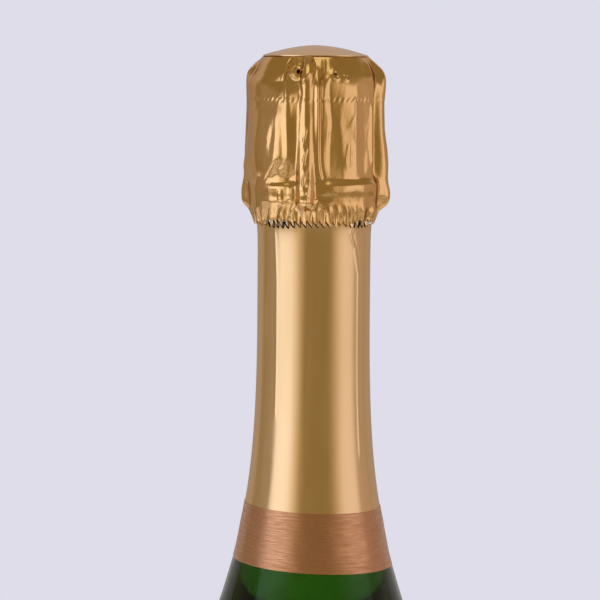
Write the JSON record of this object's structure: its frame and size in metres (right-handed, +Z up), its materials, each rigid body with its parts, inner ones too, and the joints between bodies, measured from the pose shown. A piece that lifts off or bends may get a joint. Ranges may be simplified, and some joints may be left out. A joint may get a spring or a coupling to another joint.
{
  "type": "champagne bottle",
  "caption": "Sealed dark green champagne bottle with a foiled neck, a crumpled gold foil hood over a caged cork, and bare paper labels.",
  "frame": {"origin": "middle of the base, on the surface that the bottle stands on", "axes": "+Z up along the bottle's axis, front of the bottle towards -Y, +X to the right seen from the front"},
  "size_m": [0.0886, 0.0896, 0.3228],
  "materials": {
    "bottle_glass": "glossy, dark green",
    "wine": "clear pale gold liquid",
    "gold_foil": "gold lacquered foil",
    "copper_paper": "copper coated paper with fine streaks",
    "cream_paper": "uncoated",
    "natural_cork": "natural cork",
    "agglomerated_cork": "agglomerated cork granules",
    "tinplate": "gold lacquered tinplate",
    "steel_wire": "galvanised wire"
  },
  "bodies": {
    "bottle": {"glass_bottle": "bottle_glass", "wine": "wine", "neck_foil": "gold_foil", "neck_label": "copper_paper", "front_label": "cream_paper", "back_label": "cream_paper"},
    "cork": {"cork_disc_lower": "natural_cork", "cork_disc_upper": "natural_cork", "cork_body": "agglomerated_cork"},
    "cage": {"cage_cap": "tinplate", "cage_ring": "steel_wire", "cage_belt": "steel_wire", "cage_leg_front": "steel_wire", "cage_leg_right": "steel_wire", "cage_leg_back": "steel_wire", "cage_leg_left": "steel_wire"},
    "eyelet": {"cage_eyelet": "steel_wire"},
    "hood": {"foil_hood": "gold_foil", "foil_top_disc": "gold_foil"}
  },
  "joints": [
    {"name": "cork_pull", "type": "slide", "parent": "bottle", "child": "cork", "axis": [0, 0, 1], "range_m": [0, 0.05]},
    {"name": "cage_lift", "type": "slide", "parent": "cork", "child": "cage", "axis": [0, 0, 1], "range_m": [0, 0.045], "deforming": ["cage_belt"]},
    {"name": "hood_lift", "type": "slide", "parent": "cage", "child": "hood", "axis": [0, 0, 1], "range_m": [0, 0.06], "deforming": ["foil_hood"]},
    {"name": "eyelet_fold", "type": "hinge", "parent": "cage", "child": "eyelet", "pos_m": [-0.0105, -0.01344, 0.28273], "axis": [0.788, -0.6157, 0], "range_deg": [0, 100]}
  ],
  "couplings": [
    {"joint": "eyelet_fold", "follows": "hood_lift", "rad_per_m": 29.08}
  ]
}
